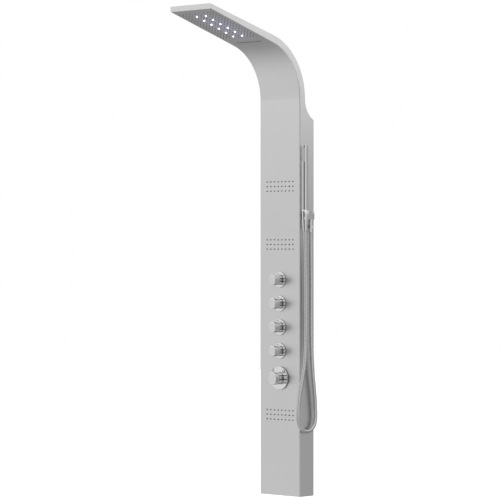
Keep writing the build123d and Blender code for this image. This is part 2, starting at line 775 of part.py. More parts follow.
def hand_feed():
    """The pipe from the hand-shower valve to the holder on the panel's side."""
    z = VALVE_Z[3]
    top = hand_feed_z()
    corners = ((MANIFOLD_HALF, z), (HAND_X, z), (HAND_X, top), (WIDTH / 2, top))
    points = [(x, RISER_Y, height) for x, height in corners]
    return tube_along(points, [12, 12], PIPE_R, PIPE_WALL)


def jet_feed():
    """The pipe from the body-jet valve to the jets' supply line."""
    z = VALVE_Z[2]
    pipe = rod((MANIFOLD_HALF, FEED_Y, z), (TEE_X - TEE, FEED_Y, z), THIN_PIPE_R)
    return pipe - rod((0, FEED_Y, z), (TEE_X, FEED_Y, z), THIN_PIPE_R - PIPE_WALL)


def generator_case():
    """The small water turbine's case, in line with the rain supply, which powers the lights."""
    x, y = -RISER_X, RISER_Y
    top = TURBINE_Z + TURBINE_H
    case = rod((x, y, TURBINE_Z), (x, y, top), TURBINE_R)
    case = case - rod((x, y, TURBINE_Z + 8), (x, y, top - 8), TURBINE_R - 2.5)
    case = case - rod((x, y, TURBINE_Z + 4), (x, y, top - 4), 1.5 + RUN)
    for dx in (-5.5, 5.5):
        case = case - rod((x + dx, y, TURBINE_Z - 1), (x + dx, y, top + 1), 1.8)
    return case


def generator_rotor():
    """The turbine's magnet rotor, with vanes, on its own shaft."""
    x, y = -RISER_X, RISER_Y
    low, high = TURBINE_Z + 9, TURBINE_Z + TURBINE_H - 9
    rotor = rod((x, y, TURBINE_Z + 4.5), (x, y, TURBINE_Z + TURBINE_H - 4.5), 1.5)
    rotor = rotor + rod((x, y, low), (x, y, high), 4.5)
    for i in range(6):
        vane = Pos(x, y, (low + high) / 2) * Rot(0, 0, 60 * i) * Pos(6.5, 0, 0) * Box(6, 1.2, high - low)
        rotor = rotor + vane
    return rotor


def wall_bracket(z):
    """A bracket that is screwed to the wall: a plate, a shelf and an upturned lip."""
    half = BRACKET_W / 2
    low, high = z - BRACKET_H / 2, z + BRACKET_H / 2
    plate = box(-half, half, -BRACKET_T, 0, low, high)
    shelf = box(-half, half, -LIP_OUT, -BRACKET_T, high - BRACKET_T, high)
    lip = box(-half, half, -LIP_OUT, BRACKET_T - LIP_OUT, high, high + LIP)
    holes = [rod((x, -BRACKET_T - 1, z), (x, 1, z), SCREW_R) for x in (-SCREW_X, SCREW_X)]
    return plate + shelf + lip - holes


def hanger_bar(z):
    """The bar across the panel's back that hooks over a wall bracket's lip."""
    top = z + BRACKET_H / 2 + LIP
    front, back = -LIP_OUT - BRACKET_T, BRACKET_T - LIP_OUT
    face = box(-INNER_HALF, INNER_HALF, front, -LIP_OUT, top - LIP - 4, top + BRACKET_T)
    over = box(-INNER_HALF, INNER_HALF, -LIP_OUT, back + BRACKET_T, top, top + BRACKET_T)
    tail = box(-INNER_HALF, INNER_HALF, back, back + BRACKET_T, top - LIP + 4, top)
    return face + over + tail


def cone_radius(z):
    """The cone nut's radius at a height inside the holder."""
    share = (z - HOLDER_Z0) / (HOLDER_Z1 - HOLDER_Z0)
    return CONE_SEAT_R + (CONE_TOP_R - CONE_SEAT_R) * share


def holder():
    """The hand shower's holder: a block with a round, open front, and the hose outlet."""
    side = WIDTH / 2
    outer = WAND_X + RING_R
    block = box(side, outer, WAND_Y, RISER_Y + HOLDER_BEHIND, HOLDER_Z0, HOLDER_Z1)
    upright = block.edges().filter_by(Axis.Z).group_by(Axis.Y)[-1].group_by(Axis.X)[-1]
    block = fillet(upright, HOLDER_CORNER)
    ring = rod((WAND_X, WAND_Y, HOLDER_Z0), (WAND_X, WAND_Y, HOLDER_Z1), RING_R)
    boss = rod((OUTLET_X, OUTLET_Y, OUTLET_Z0), (OUTLET_X, OUTLET_Y, HOLDER_Z0), OUTLET_R)
    body = block + ring + boss
    seat_low = cone_radius(HOLDER_Z0) + GAP + LINER_T
    seat_high = cone_radius(HOLDER_Z1) + GAP + LINER_T
    body = body - rod((WAND_X, WAND_Y, HOLDER_Z0), (WAND_X, WAND_Y, HOLDER_Z1), seat_low, seat_high)
    half = HOSE_SLOT / 2
    slot = box(WAND_X - half, WAND_X + half, WAND_Y - 2 * RING_R, WAND_Y, HOLDER_Z0 - 1, HOLDER_Z1 + 1)
    across = rod((side - 1, RISER_Y, hand_feed_z()), (OUTLET_X, RISER_Y, hand_feed_z()), 4)
    down = rod((OUTLET_X, OUTLET_Y, OUTLET_Z0 - 1), (OUTLET_X, OUTLET_Y, hand_feed_z()), 4)
    return body - slot - across - down


def holder_liner():
    """The plastic liner that the hand shower's cone sits in."""
    low, high = cone_radius(HOLDER_Z0) + GAP, cone_radius(HOLDER_Z1) + GAP
    foot, head = (WAND_X, WAND_Y, HOLDER_Z0), (WAND_X, WAND_Y, HOLDER_Z1)
    body = rod(foot, head, low + LINER_T, high + LINER_T) - rod(foot, head, low, high)
    half = HOSE_SLOT / 2
    slot = box(WAND_X - half, WAND_X + half, WAND_Y - 2 * RING_R, WAND_Y, HOLDER_Z0 - 1, HOLDER_Z1 + 1)
    return body - slot


def outlet_nut():
    """The hexagonal nut that joins the hose to the holder's outlet."""
    foot, top = (OUTLET_X, OUTLET_Y, NUT_Z0), (OUTLET_X, OUTLET_Y, OUTLET_Z0)
    middle = (OUTLET_X, OUTLET_Y, OUTLET_Z0 - 9)
    body = rod(foot, middle, NUT_R) + hexagon(middle, top, 2 * NUT_R)
    return body - rod(foot, top, HOSE_R - HOSE_WALL)


def cone_nut():
    """The tapered nut at the hose's end, which hangs the hand shower in its holder."""
    top = HOLDER_Z1 + CONE_TOP_H
    outline = [
        (0, HOSE_R - HOSE_WALL),
        (0, CONE_END_R),
        (HOLDER_Z0 - CONE_Z0, CONE_SEAT_R),
        (HOLDER_Z1 - CONE_Z0, CONE_TOP_R),
        (top - CONE_Z0, WAND_R),
        (top - CONE_Z0, CONE_STUB_R),
        (top - CONE_Z0 + CONE_STUB_L, CONE_STUB_R),
        (top - CONE_Z0 + CONE_STUB_L, CONE_STUB_R - 2),
        (HOLDER_Z0 - CONE_Z0, CONE_STUB_R - 2),
        (HOLDER_Z0 - CONE_Z0 - 5, HOSE_R - HOSE_WALL),
    ]
    return turned(outline, (WAND_X, WAND_Y, CONE_Z0), (0, 0, 1))


def facing():
    """The direction in which the hand shower sprays."""
    turn = math.radians(WAND_FACING)
    return Vector(math.sin(turn), -math.cos(turn), 0)


def wand_window(half, low, high):
    """A block through the wand's wall on its spray side."""
    depth = 2 * WAND_R
    turn = Pos(WAND_X, WAND_Y, (low + high) / 2) * Rot(0, 0, WAND_FACING)
    return turn * Pos(0, -depth / 2, 0) * Box(2 * half, depth, high - low)


def wand_body():
    """The hand shower's tube, with a window for its nozzle plate and a bush for the cone nut."""
    low = HOLDER_Z1 + CONE_TOP_H + GAP
    top = WAND_TOP - 4
    tube = rod((WAND_X, WAND_Y, low), (WAND_X, WAND_Y, top), WAND_R)
    bush = low + CONE_STUB_L
    tube = tube - rod((WAND_X, WAND_Y, low), (WAND_X, WAND_Y, bush), CONE_STUB_R + RUN)
    tube = tube - rod((WAND_X, WAND_Y, bush), (WAND_X, WAND_Y, top), WAND_BORE)
    return tube - wand_window(WAND_FACE_HALF, WAND_TOP - WAND_FACE_L, WAND_TOP - 8)


def wand_face():
    """The nozzle plate let into the hand shower's side."""
    low, high = WAND_TOP - WAND_FACE_L, WAND_TOP - 8
    ring = rod((WAND_X, WAND_Y, low), (WAND_X, WAND_Y, high), WAND_R - 0.3)
    ring = ring - rod((WAND_X, WAND_Y, low), (WAND_X, WAND_Y, high), WAND_BORE)
    plate = ring & wand_window(WAND_FACE_HALF, low, high)
    out = facing()
    across = Vector(-out.Y, out.X, 0)
    for row in range(6):
        for side in (-1, 1):
            z = low + 4 + row * WAND_JET_PITCH
            start = Vector(WAND_X, WAND_Y, z) + across * (side * 3) + out * (WAND_BORE + 0.5)
            plate = plate + rod(tuple(start), tuple(start + out * 3), 1.2, 0.9)
    return plate


def wand_cap():
    """The rounded cap on top of the hand shower."""
    low = WAND_TOP - 4
    outline = [
        (-6, 0),
        (-6, WAND_BORE),
        (0, WAND_BORE),
        (0, WAND_R),
        (2, WAND_R),
        (3.4, WAND_R - 1.2),
        (4, WAND_R - 3.5),
        (4, 0),
    ]
    return turned(outline, (WAND_X, WAND_Y, low), (0, 0, 1))


def hose():
    """The flexible hose, as arcs as large as its route allows."""
    radii = []
    points = [Vector(*p) for p in HOSE_POINTS]
    for before, here, after in zip(points, points[1:], points[2:]):
        turn = math.radians((here - before).get_angle(after - here))
        shorter = min((here - before).length, (after - here).length)
        radii.append(0.45 * shorter / math.tan(turn / 2))
    print("hose radii", [round(r) for r in radii])
    solid = tube_along(HOSE_POINTS, radii, HOSE_R, HOSE_WALL)
    length = FilletPolyline(*HOSE_POINTS, radius=radii).length
    area = math.pi * (HOSE_R ** 2 - (HOSE_R - HOSE_WALL) ** 2)
    print("hose length", round(length, 1), "volume share", round(solid.volume / (area * length), 4))
    return solid


def export(name, shape):
    """Write one piece with the origin moved to the middle of the wall screws."""
    solids = shape.solids()
    moved = Pos(0, 0, -ORIGIN_Z) * (solids[0] if len(solids) == 1 else Compound(solids))
    export_step(moved, "parts/" + name + ".step")


export("panel_shell", panel_shell())
export("head_cover", head_cover())
for group in JET_Z:
    export("jet_mat_" + group, jet_mat(group))
    export("jet_chamber_" + group, jet_chamber(group))
export("jet_supply", jet_supply())
export("valve_manifold", valve_manifold())
for number, z in enumerate(VALVE_Z, 1):
    export(f"valve_cartridge_{number}", valve_cartridge(z))
    export(f"valve_stem_{number}", valve_stem(z))
    export(f"valve_plate_{number}", round_plate(z, PLATE_R, PLATE_T, CARTRIDGE_R))
    export(f"valve_knob_{number}", stop_knob(z))
export("mixer_body", mixer_body())
export("mixer_link", mixer_link())
export("mixer_plate", round_plate(MIXER_Z, MIXER_PLATE_R, MIXER_PLATE_T, MIXER_NECK_R))
export("thermo_cartridge", thermo_cartridge())
export("temperature_stem", temperature_stem())
export("temperature_knob", temperature_knob())
export("safety_button", safety_button())
export("inlet_left", inlet(-INLET_X))
export("inlet_right", inlet(INLET_X))
export("rain_chamber", rain_chamber())
export("rain_mat", rain_mat())
for name, side in (("left", -1), ("right", 1)):
    export("led_lenses_" + name, led_lenses(side))
    export("led_board_" + name, led_board(side))
export("waterfall_spout", waterfall_spout())
export("rain_feed", rain_feed())
export("rain_riser", head_riser(-RISER_X, RAIN_OVER, CHAMBER_END, TURBINE_Z + TURBINE_H, None))
export("waterfall_riser", head_riser(RISER_X, SPOUT_FEED, SLOT_AT + 16, VALVE_Z[1], MANIFOLD_HALF))
export("hand_feed", hand_feed())
export("generator_case", generator_case())
export("generator_rotor", generator_rotor())
export("wall_bracket_lower", wall_bracket(LOWER_BRACKET_Z))
export("wall_bracket_upper", wall_bracket(UPPER_BRACKET_Z))
export("hanger_bar_lower", hanger_bar(LOWER_BRACKET_Z))
export("hanger_bar_upper", hanger_bar(UPPER_BRACKET_Z))
export("holder", holder())
export("holder_liner", holder_liner())
export("outlet_nut", outlet_nut())
export("shower_hose", hose())
export("cone_nut", cone_nut())
export("wand_body", wand_body())
export("wand_face", wand_face())
export("wand_cap", wand_cap())
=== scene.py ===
import math

import bmesh
import bpy
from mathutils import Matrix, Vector


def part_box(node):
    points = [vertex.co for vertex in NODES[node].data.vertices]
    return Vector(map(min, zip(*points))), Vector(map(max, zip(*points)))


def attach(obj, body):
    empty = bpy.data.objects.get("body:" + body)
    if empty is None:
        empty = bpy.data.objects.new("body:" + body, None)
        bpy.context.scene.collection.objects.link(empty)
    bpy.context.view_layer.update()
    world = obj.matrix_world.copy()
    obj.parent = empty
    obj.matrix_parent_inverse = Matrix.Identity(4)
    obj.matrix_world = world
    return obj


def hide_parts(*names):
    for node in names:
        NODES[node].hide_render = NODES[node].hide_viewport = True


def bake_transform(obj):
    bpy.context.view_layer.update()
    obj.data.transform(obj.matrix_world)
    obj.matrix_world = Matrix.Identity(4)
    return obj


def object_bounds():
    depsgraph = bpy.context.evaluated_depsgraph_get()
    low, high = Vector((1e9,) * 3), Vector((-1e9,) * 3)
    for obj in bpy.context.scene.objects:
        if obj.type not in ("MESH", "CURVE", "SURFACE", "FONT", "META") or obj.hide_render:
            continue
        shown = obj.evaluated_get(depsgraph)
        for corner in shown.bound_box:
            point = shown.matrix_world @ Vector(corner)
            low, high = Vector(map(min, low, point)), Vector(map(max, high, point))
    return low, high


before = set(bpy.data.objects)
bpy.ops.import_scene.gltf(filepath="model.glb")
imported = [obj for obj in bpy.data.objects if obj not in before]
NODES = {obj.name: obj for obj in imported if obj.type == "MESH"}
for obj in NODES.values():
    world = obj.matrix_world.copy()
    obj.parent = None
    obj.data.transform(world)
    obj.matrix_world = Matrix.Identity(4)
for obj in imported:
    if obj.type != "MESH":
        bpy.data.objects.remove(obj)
CAD_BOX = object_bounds()
SCENE = bpy.context.scene

# The hose's route in metres, from the cone nut, round the loop and up to the outlet
HOSE_ROUTE = [
    (0.108, -0.062, 0.225),
    (0.108, -0.062, 0.198),
    (0.107, -0.0595, 0.162),
    (0.106, -0.057, 0.110),
    (0.106, -0.0555, 0.020),
    (0.107, -0.0565, -0.080),
    (0.107, -0.0575, -0.165),
    (0.107, -0.063, -0.230),
    (0.1065, -0.077, -0.288),
    (0.106, -0.090, -0.340),
    (0.106, -0.0945, -0.383),
    (0.106, -0.094, -0.4265),
    (0.106, -0.0775, -0.450),
    (0.106, -0.050, -0.459),
    (0.106, -0.0225, -0.450),
    (0.106, -0.0055, -0.4265),
    (0.106, -0.006, -0.381),
    (0.107, -0.013, -0.318),
    (0.108, -0.024, -0.250),
    (0.108, -0.0295, -0.170),
    (0.107, -0.0305, -0.068),
    (0.106, -0.028, 0.037),
    (0.106, -0.030, 0.137),
    (0.106, -0.030, 0.222),
]
HOSE_R = 0.007
HOSE_PITCH = 0.0044
HOSE_GROOVE = 0.0011
HOSE_SIDES = 20
HOSE_STEPS = 4

# The panel's fold: the centre of its bend in the side view, the bend's turn, the lower edge
# of the head's tip, and the directions along the underside and out of it
HEAD_LOW, HEAD_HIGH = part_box("panel_shell")
BEND_Y = -0.260
BEND_DROP = 0.294
BEND_Z = HEAD_HIGH.z - BEND_DROP
BEND_TURN = math.radians(72.85)
BEND_MIDDLE_R = 0.2
HEAD_TILT = math.pi / 2 - BEND_TURN
TIP_DROP = 0.018
HEAD_TIP = Vector((0, HEAD_LOW.y, HEAD_HIGH.z - TIP_DROP))
HEAD_ALONG = Vector((0, math.cos(HEAD_TILT), -math.sin(HEAD_TILT)))
HEAD_OUT = Vector((0, -math.sin(HEAD_TILT), -math.cos(HEAD_TILT)))

# The head's lamps, as distances along its underside from the tip
LED_X = 0.0205
LED_FIRST = 0.055
LED_PITCH = 0.0368
LED_COUNT = 6
DOME_R = 0.0024

# The blue light on the steel around the lamps: its middle, its reach and its strength
GLOW_AT = 0.145
GLOW_X = 0.012
GLOW_SQUASH = 0.45
GLOW_REACH = (0.02, 0.085)
GLOW_POWER = 0.085
GLOW_COLOUR = (0.42, 0.40, 1.0, 1)

# The index mark on the mixer's plate
MARK_R = 0.0022
MARK_X = 0.018
MARK_UP = 0.025

# Each stop valve's plate and knob, and the mixer's, with the knob's radius
STOPS = [(f"valve_plate_{i}", f"valve_knob_{i}", 0.0183) for i in range(1, 5)]
STOPS.append(("mixer_plate", "temperature_knob", 0.022))

# The painted shade on a plate's rim, the painted shade in a knob's recessed flutes, and a limit
# that shuts nothing out
RIM_BAND = 0.0006
FLUTE_INNER = 0.010
FLUTE_BAND = 0.0002
FLUTE_START = 0.006
EVERYWHERE = 1.0
PLATE_TONE = 0.66
RIM_TONE = 0.22
KNOB_TONE = 0.60
# Painted shade: the near-black that the knobs' recessed flutes are coloured with
FLUTE_PAINTED_SHADE = 0.045

# Edges that the finished knobs, plates and holder are softened by
WELD_GAP = 0.00001
EDGE_WIDTH = 0.0004
EDGE_ANGLE = math.radians(40)

# The camera, the floor and the two soft boxes
CAMERA_PLACE = (5.835, -6.478, 0.161)
CAMERA_TURN = (math.radians(90), 0, math.radians(43))
CAMERA_LENS = 182.0
CAMERA_SENSOR = 36.0
FLOOR_HALF = 12.0
FLOOR_DROP = 0.35
LIGHT_AIM = (0, 0, 0.2)

# The room: its brightness by how far a direction points towards the wall, then the window
# beside the panel, the light from above and the dark patch straight in front of the panel
ROOM = [
    (-0.90, 1.0),
    (-0.70, 0.99),
    (-0.37, 0.93),
    (0.0, 0.70),
    (0.32, 0.48),
    (0.60, 0.37),
    (0.95, 0.34),
]
WINDOW_TOWARD = (0.682, 0.731, 0.0)
WINDOW_SPREAD = (0.72, 0.95)
WINDOW = 0.17
ABOVE_SPREAD = (0.05, 0.5)
ABOVE = 0.45
DARK_TOWARD = (0.15, -0.99, 0.0)
DARK_SPREAD = (0.80, 0.96)
DARK = 0.14


# ---------------------------------------------------------------- materials

class Shader:
    """A small helper that builds one principled material node by node."""

    def __init__(self, name):
        self.material = bpy.data.materials.new(name)
        self.material.use_nodes = True
        self.tree = self.material.node_tree
        self.surface = self.tree.nodes["Principled BSDF"]
        self.place = self.node("ShaderNodeTexCoord").outputs["Object"]

    def node(self, kind, **settings):
        made = self.tree.nodes.new(kind)
        for key, value in settings.items():
            setattr(made, key, value)
        return made

    def link(self, source, target):
        self.tree.links.new(source, target)

    def set(self, **values):
        for key, value in values.items():
            self.surface.inputs[key.replace("_", " ")].default_value = value

    def math(self, operation, a, b=None, c=None):
        made = self.node("ShaderNodeMath", operation=operation)
        for socket, value in zip(made.inputs, (a, b, c)):
            if isinstance(value, (int, float)):
                socket.default_value = value
            elif value is not None:
                self.link(value, socket)
        return made.outputs[0]

    def scaled(self, x, y, z):
        made = self.node("ShaderNodeMapping")
        self.link(self.place, made.inputs["Vector"])
        made.inputs["Scale"].default_value = (x, y, z)
        return made.outputs["Vector"]

    def noise(self, vector, scale, detail=2.0, rough=0.5):
        made = self.node("ShaderNodeTexNoise")
        self.link(vector, made.inputs["Vector"])
        made.inputs["Scale"].default_value = scale
        made.inputs["Detail"].default_value = detail
        made.inputs["Roughness"].default_value = rough
        return made.outputs["Fac"]

    def span(self, value, low, high, start=0.0, end=1.0):
        made = self.node("ShaderNodeMapRange")
        self.link(value, made.inputs["Value"])
        made.inputs["From Min"].default_value = start
        made.inputs["From Max"].default_value = end
        made.inputs["To Min"].default_value = low
        made.inputs["To Max"].default_value = high
        return made.outputs["Result"]

    def tint(self, value, dark, light):
        made = self.node("ShaderNodeValToRGB")
        self.link(value, made.inputs["Fac"])
        made.color_ramp.elements[0].color = (*dark, 1)
        made.color_ramp.elements[1].color = (*light, 1)
        self.link(made.outputs["Color"], self.surface.inputs["Base Color"])

    def rough(self, value):
        self.link(value, self.surface.inputs["Roughness"])

    def bump(self, height, distance, strength=1.0):
        made = self.node("ShaderNodeBump")
        made.inputs["Strength"].default_value = strength
        made.inputs["Distance"].default_value = distance
        self.link(height, made.inputs["Height"])
        self.link(made.outputs["Normal"], self.surface.inputs["Normal"])


def fold_coordinates(shader):
    """X, distance across the fold and distance along it, so that brushing follows the sheet."""
    split = shader.node("ShaderNodeSeparateXYZ")
    shader.link(shader.place, split.inputs[0])
    y = shader.math("SUBTRACT", split.outputs["Y"], BEND_Y)
    z = shader.math("SUBTRACT", split.outputs["Z"], BEND_Z)
    angle = shader.math("ARCTAN2", z, y)
    above = shader.math("MAXIMUM", angle, 0.0)
    turn = shader.math("MINIMUM", above, BEND_TURN)
    cosine = shader.math("COSINE", turn)
    sine = shader.math("SINE", turn)
    across = shader.math("MULTIPLY_ADD", y, cosine, shader.math("MULTIPLY", z, sine))
    back = shader.math("MULTIPLY", y, sine)
    along = shader.math("SUBTRACT", shader.math("MULTIPLY", z, cosine), back)
    length = shader.math("MULTIPLY_ADD", turn, BEND_MIDDLE_R, along)
    joined = shader.node("ShaderNodeCombineXYZ")
    shader.link(split.outputs["X"], joined.inputs["X"])
    shader.link(across, joined.inputs["Y"])
    shader.link(length, joined.inputs["Z"])
    return joined.outputs[0]


def brushed_panel():
    """Stainless sheet: fine brushing along the fold, faint waviness and dried water marks."""
    shader = Shader("brushed_panel_steel")
    shader.set(Metallic=1.0, Anisotropic=0.35)
    fold = fold_coordinates(shader)
    stretch = shader.node("ShaderNodeMapping")
    shader.link(fold, stretch.inputs["Vector"])
    stretch.inputs["Scale"].default_value = (1.0, 1.0, 0.008)
    hair = shader.noise(stretch.outputs["Vector"], 1500.0, 3.0, 0.65)
    long_hair = shader.noise(stretch.outputs["Vector"], 420.0, 2.0, 0.5)
    cloud = shader.noise(shader.place, 5.0, 3.0, 0.55)
    spots = shader.noise(shader.place, 60.0, 4.0, 0.6)
    lines = shader.math("MULTIPLY_ADD", long_hair, 0.6, hair)
    tone = shader.math("MULTIPLY_ADD", cloud, 0.25, shader.math("MULTIPLY", lines, 0.5))
    shader.tint(tone, (0.53, 0.53, 0.532), (0.63, 0.63, 0.632))
    worn = shader.math("MULTIPLY_ADD", spots, 0.06, shader.span(lines, 0.24, 0.36, 0.4, 1.2))
    shader.rough(worn)
    shader.bump(lines, 0.00004, 0.5)
    lamp_glow(shader)
    return shader.material


def lamp_glow(shader):
    """The faint blue light that the lamps throw on the steel around them."""
    away = shader.node("ShaderNodeVectorMath", operation="DISTANCE")
    shader.link(shader.scaled(1.0, GLOW_SQUASH, 1.0), away.inputs[0])
    middle = HEAD_TIP + HEAD_ALONG * GLOW_AT
    away.inputs[1].default_value = (GLOW_X, middle.y * GLOW_SQUASH, middle.z)
    fall = shader.node("ShaderNodeMapRange", interpolation_type="SMOOTHSTEP")
    shader.link(away.outputs["Value"], fall.inputs["Value"])
    near, far = GLOW_REACH
    limits = (("From Min", near), ("From Max", far), ("To Min", GLOW_POWER), ("To Max", 0.0))
    for key, value in limits:
        fall.inputs[key].default_value = value
    shader.link(fall.outputs["Result"], shader.surface.inputs["Emission Strength"])
    shader.surface.inputs["Emission Color"].default_value = GLOW_COLOUR


def plain_steel():
    """Rolled steel of the hidden brackets, with mill marks."""
    shader = Shader("mill_steel")
    shader.set(Metallic=1.0)
    rolled = shader.noise(shader.scaled(1.0, 1.0, 12.0), 90.0, 4.0)
    shader.tint(rolled, (0.36, 0.365, 0.37), (0.52, 0.52, 0.53))
    shader.rough(shader.span(rolled, 0.32, 0.5))
    shader.bump(rolled, 0.0001, 0.3)
    return shader.material


def smears(shader):
    """Faint upright smears on polished metal, which also ripple it a little."""
    smear = shader.noise(shader.scaled(1.0, 1.0, 0.4), 120.0, 3.0)
    shader.bump(smear, 0.00002, 0.2)
    return smear


def chrome(name, tone, soft=0.05):
    """Polished plate with faint smears and a trace of water scale."""
    shader = Shader(name)
    shader.set(Metallic=1.0)
    smear = smears(shader)
    scale = shader.noise(shader.place, 900.0, 2.0)
    shader.tint(smear, (tone - 0.03,) * 3, (tone + 0.02,) * 3)
    smooth = shader.span(smear, soft, soft + 0.07, 0.3, 0.8)
    shader.rough(shader.math("MULTIPLY_ADD", scale, 0.03, smooth))
    return shader.material


def banded(name, centre_z, inner, outer, front, tone, painted_shade_tone):
    """Polish that is darker between two radii from an axis along Y, and behind a depth."""
    shader = Shader(name)
    shader.set(Metallic=1.0)
    split = shader.node("ShaderNodeSeparateXYZ")
    shader.link(shader.place, split.inputs[0])
    x = split.outputs["X"]
    height = shader.math("SUBTRACT", split.outputs["Z"], centre_z)
    squares = shader.math("MULTIPLY_ADD", height, height, shader.math("MULTIPLY", x, x))
    away = shader.math("SQRT", squares)
    inside = shader.math("GREATER_THAN", away, inner)
    within = shader.math("LESS_THAN", away, outer)
    behind = shader.math("GREATER_THAN", split.outputs["Y"], front)
    band = shader.math("MULTIPLY", shader.math("MULTIPLY", inside, within), behind)
    smear = smears(shader)
    level = shader.math("MULTIPLY_ADD", smear, 0.06, band)
    # The darker band is painted shade: on a plate's rim and in a knob's recessed flutes
    shader.tint(level, (tone,) * 3, (painted_shade_tone,) * 3)
    shader.rough(shader.span(smear, 0.05, 0.12, 0.3, 0.8))
    return shader.material


def brass():
    """Machined brass with turning marks and a little dulling."""
    shader = Shader("machined_brass")
    shader.set(Metallic=1.0)
    turned = shader.noise(shader.scaled(1.0, 14.0, 1.0), 160.0, 2.0)
    dull = shader.noise(shader.place, 26.0, 4.0)
    shader.tint(dull, (0.48, 0.33, 0.13), (0.74, 0.56, 0.27))
    shader.rough(shader.span(dull, 0.22, 0.42))
    shader.bump(turned, 0.00006, 0.35)
    return shader.material


def moulded(name, dark, light, low, high, grain=900.0):
    """Moulded plastic or rubber: a fine texture, soft sheen and slight colour drift."""
    shader = Shader(name)
    drift = shader.noise(shader.place, 18.0, 3.0)
    fine = shader.noise(shader.place, grain, 2.0)
    shader.tint(drift, dark, light)
    shader.rough(shader.span(drift, low, high))
    shader.bump(fine, 0.00008, 0.4)
    return shader.material


def circuit_board():
    """Green board with copper tracks under its lacquer."""
    shader = Shader("circuit_board")
    tracks = shader.node("ShaderNodeTexBrick")
    shader.link(shader.place, tracks.inputs["Vector"])
    tracks.inputs["Scale"].default_value = 120.0
    tracks.inputs["Color1"].default_value = (0.02, 0.16, 0.07, 1)
    tracks.inputs["Color2"].default_value = (0.03, 0.20, 0.09, 1)
    tracks.inputs["Mortar"].default_value = (0.35, 0.28, 0.10, 1)
    shader.link(tracks.outputs["Color"], shader.surface.inputs["Base Color"])
    shader.rough(shader.span(shader.noise(shader.place, 300.0), 0.25, 0.4))
    return shader.material


def lit_lens(name, power):
    """A clear lens lit from behind, a little blue."""
    shader = Shader(name)
    shader.set(Roughness=0.15, IOR=1.49, Emission_Strength=power)
    ripple = shader.noise(shader.place, 700.0, 1.0)
    shader.tint(ripple, (0.78, 0.84, 0.95), (0.90, 0.94, 1.0))
    glow = shader.node("ShaderNodeValToRGB")
    shader.link(ripple, glow.inputs["Fac"])
    glow.color_ramp.elements[0].color = (0.78, 0.82, 1.0, 1)
    glow.color_ramp.elements[1].color = (0.94, 0.95, 1.0, 1)
    shader.link(glow.outputs["Color"], shader.surface.inputs["Emission Color"])
    return shader.material


def stage_white():
    """The studio floor, a plain pale surface."""
    shader = Shader("studio_floor")
    shader.set(Roughness=0.9, Emission_Strength=0.35)
    mottle = shader.noise(shader.place, 3.0)
    shader.tint(mottle, (0.90, 0.90, 0.90), (0.93, 0.93, 0.93))
    shader.surface.inputs["Emission Color"].default_value = (1, 1, 1, 1)
    return shader.material


PANEL = brushed_panel()
MILL = plain_steel()
CHROME = chrome("bright_chrome", 0.62)
CHROME_SOFT = chrome("satin_chrome", 0.60, 0.12)
HOSE_METAL = chrome("hose_metal", 0.44, 0.06)
BRASS = brass()
RUBBER = moulded("nozzle_silicone", (0.045, 0.046, 0.05), (0.085, 0.086, 0.09), 0.4, 0.6)
PLASTIC = moulded("moulded_housing", (0.10, 0.10, 0.105), (0.16, 0.16, 0.165), 0.38, 0.5)
LINER = moulded("liner_plastic", (0.05, 0.05, 0.055), (0.09, 0.09, 0.095), 0.3, 0.4)
FACE_PLATE = moulded("nozzle_plate", (0.30, 0.30, 0.31), (0.42, 0.42, 0.43), 0.25, 0.4)
BOARD = circuit_board()
LENS = lit_lens("lit_lens", 5.0)
LENS_RIM = lit_lens("lens_rim", 0.35)

# What each CAD node's name starts with, and its finish
FINISHES = {
    "panel_shell": PANEL,
    "head_cover": PANEL,
    "jet_mat": RUBBER,
    "rain_mat": RUBBER,
    "wand_face": FACE_PLATE,
    "jet_chamber": PLASTIC,
    "rain_chamber": PLASTIC,
    "waterfall_spout": PLASTIC,
    "generator": PLASTIC,
    "holder_liner": LINER,
    "led_lenses": LENS_RIM,
    "led_board": BOARD,
    "wall_bracket": MILL,
    "hanger_bar": MILL,
    "valve_plate": CHROME,
    "valve_knob": CHROME,
    "mixer_plate": CHROME,
    "temperature_knob": CHROME,
    "safety_button": CHROME,
    "wand_body": CHROME,
    "wand_cap": CHROME,
    "cone_nut": CHROME,
    "outlet_nut": CHROME,
    "holder": CHROME_SOFT,
}


def finish_for(name):
    """The finish whose key is the longest start of a node's name; brass for the rest."""
    keys = [key for key in FINISHES if name.startswith(key)]
    return FINISHES[max(keys, key=len)] if keys else BRASS


def band_finishes():
    """A finish for each knob with painted shade in its recessed grip flutes and each plate with
    painted shade on its rim.
    """
    for plate, knob, radius in STOPS:
        low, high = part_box(plate)
        middle, rim = (low.z + high.z) / 2, (high.x - low.x) / 2
        name, inner = plate + "_chrome", rim - RIM_BAND
        FINISHES[plate] = banded(
            name, middle, inner, EVERYWHERE, -EVERYWHERE, PLATE_TONE, RIM_TONE
        )
        # Painted shade in the knob's recessed flutes, behind its front
        name, outer = knob + "_chrome", radius - FLUTE_BAND
        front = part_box(knob)[0].y + FLUTE_START
        FINISHES[knob] = banded(
            name, middle, FLUTE_INNER, outer, front, KNOB_TONE, FLUTE_PAINTED_SHADE
        )


def finish_nodes():
    """Gives every CAD node its finish, and the knobs, plates, holder and outlet nut softly
    rounded edges between crisp flat faces.
    """
    rounded = (
        "valve_knob",
        "valve_plate",
        "mixer_plate",
        "temperature_knob",
        "holder",
        "outlet_nut",
    )
    for name, node in NODES.items():
        node.data.materials.clear()
        node.data.materials.append(finish_for(name))
        if name.startswith(rounded) and name != "holder_liner":
            weld = node.modifiers.new("weld", "WELD")
            weld.merge_threshold = WELD_GAP
            bevel = node.modifiers.new("soft_edge", "BEVEL")
            bevel.width = EDGE_WIDTH
            bevel.segments = 2
            bevel.limit_method = "ANGLE"
            bevel.angle_limit = EDGE_ANGLE
            bevel.harden_normals = True


# ---------------------------------------------------------------- pieces

